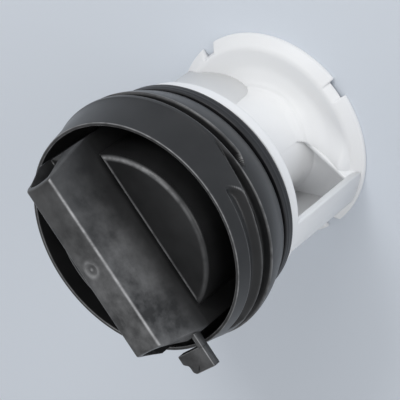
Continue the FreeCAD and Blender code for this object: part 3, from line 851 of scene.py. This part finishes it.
def basketWeb():
    # the middle line is the parabola through three points, and the wall stands half its
    # thickness to each side of it
    shape = webShape
    first, middle, last = (np.array(shape[key]) for key in ("start", "middle", "end"))
    control = 2 * middle - (first + last) / 2
    share = np.linspace(0.0, 1.0, shape["points"])[:, None]
    line = parabola(first, control, last, share)
    way = unit(2 * (1 - share) * (control - first) + 2 * share * (last - control))
    side = np.stack([-way[:, 1], way[:, 0]], axis=1) * shape["thickness"] / 2
    outline = np.vstack([line - side, (line + side)[::-1]])
    return slab(outline, shape["low"], shape["high"], shape["ease"])


# Rib: low ridge across the dish from the post to the strut's trailing edge; its settings stand
# above, with the dish that swells up to it

def basketRib():
    # one section carried along a straight line
    section = softOutline(ribShape["section"])
    rows, columns = ribShape["points"], len(section)
    first, run = ribLine()
    way = unit(run)
    side = np.array([-way[1], way[0]])
    share = np.linspace(0.0, 1.0, rows)[:, None, None]
    flat = first + run * share + section[None, :, :1] * side
    up = np.broadcast_to(section[None, :, 1:], flat.shape[:2] + (1,))
    points = np.concatenate([flat, up], axis=-1).reshape(-1, 3)
    return points, turnedOver(gridFaces(rows, columns, wrapRows=False)), endFaces(rows, columns), 0.0


basketSetup = ("basket", "basket_plastic", basketPlastic)
basketTurn = basketShape["turn"]
basketPiece = putPiece("basketBody", [turnPart(basketBody(), basketTurn)], *basketSetup)
putPiece("basketStruts", bothWays(turnPart(basketStrut(), basketTurn)), *basketSetup)
putPiece("basketWebs", bothWays(turnPart(basketWeb(), basketTurn)), *basketSetup)
putPiece("basketRibs", bothWays(turnPart(basketRib(), basketTurn)), *basketSetup)
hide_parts("filter_basket")
print("pieces done")


# Floor: one wide pale sheet, a hair under the rear lip

floorLook = {
    "halfSize": 3.0, "height": -0.00005, "lines": 3,
    "colour": (0.74, 0.785, 0.845, 1.0), "rough": 0.7,
}


def paleFloor():
    # flat grid, x and y from minus to plus the half size
    look = floorLook
    side = np.linspace(-look["halfSize"], look["halfSize"], look["lines"])
    x, y = np.meshgrid(side, side, indexing="ij")
    points = np.stack([x.ravel(), y.ravel(), np.full(x.size, look["height"])], axis=1)
    faces = gridFaces(look["lines"], look["lines"], False, False)
    mesh = bpy.data.meshes.new("floor")
    mesh.from_pydata(points.tolist(), [], faces.tolist())
    floor = bpy.data.objects.new("floor", mesh)
    bpy.context.scene.collection.objects.link(floor)
    material, tree = newMaterial("paleFloor")
    shader = addNode(tree, "ShaderNodeBsdfPrincipled", (0, 0), Roughness=look["rough"])
    shader.inputs["Base Color"].default_value = look["colour"]
    out = addNode(tree, "ShaderNodeOutputMaterial", (300, 0))
    joinNodes(tree, shader, "BSDF", out, "Surface")
    mesh.materials.append(material)


paleFloor()
print("floor done")


# Light: a low broad key in front, away from the lug, a smaller lamp above it for the edges, a wide
# low fill in front, a faint lamp behind, and an even world

lights = {
    "key": {"from": (0.62, -0.72, 0.31), "far": 0.8, "size": 0.34, "power": 0.9},
    "edge": {"from": (0.62, -0.40, 0.68), "far": 0.7, "size": 0.20, "power": 1.05},
    "fill": {"from": (-0.30, -0.90, 0.28), "far": 0.8, "size": 0.5, "power": 1.1},
    "back": {"from": (0.45, 0.66, 0.60), "far": 0.8, "size": 0.45, "power": 0.25},
}
worldLook = {"colour": (0.95, 0.97, 1.0, 1.0), "level": 0.54}


def softLight(name, settings, target):
    lamp = bpy.data.lights.new(name, "AREA")
    lamp.shape = "DISK"
    lamp.size = settings["size"]
    lamp.energy = settings["power"]
    holder = bpy.data.objects.new(name, lamp)
    away = Vector(settings["from"]).normalized()
    holder.location = target + away * settings["far"]
    holder.rotation_mode = "QUATERNION"
    holder.rotation_quaternion = (-away).to_track_quat("-Z", "Y")
    bpy.context.scene.collection.objects.link(holder)


def evenWorld():
    world = bpy.data.worlds.new("studio")
    world.use_nodes = True
    background = world.node_tree.nodes["Background"]
    background.inputs["Color"].default_value = worldLook["colour"]
    background.inputs["Strength"].default_value = worldLook["level"]
    bpy.context.scene.world = world


for lightName, lightSettings in lights.items():
    softLight(lightName, lightSettings, (cadLow + cadHigh) / 2)
evenWorld()
print("light done")


# Camera: looks down at about 45 degrees on the grip's long side, rolled as in the photo

cameraSetup = {
    "place": (0.0321, -0.3489, 0.3707),
    "right": (-0.5495, -0.6095, -0.5714),
    "ahead": (-0.0701, 0.7153, -0.6953),
    "lens": 198.0, "sensor": 36.0, "clip": (0.01, 20.0),
}


def photoCamera():
    # the picture's up is square to its right and to the way the camera looks
    data = bpy.data.cameras.new("photoCamera")
    data.sensor_width = cameraSetup["sensor"]
    data.lens = cameraSetup["lens"]
    data.clip_start, data.clip_end = cameraSetup["clip"]
    camera = bpy.data.objects.new("photoCamera", data)
    back = -Vector(cameraSetup["ahead"]).normalized()
    up = back.cross(Vector(cameraSetup["right"])).normalized()
    turn = Matrix((up.cross(back), up, back)).transposed().to_4x4()
    camera.matrix_world = Matrix.Translation(cameraSetup["place"]) @ turn
    bpy.context.scene.collection.objects.link(camera)
    bpy.context.scene.camera = camera


photoCamera()
print("camera done")
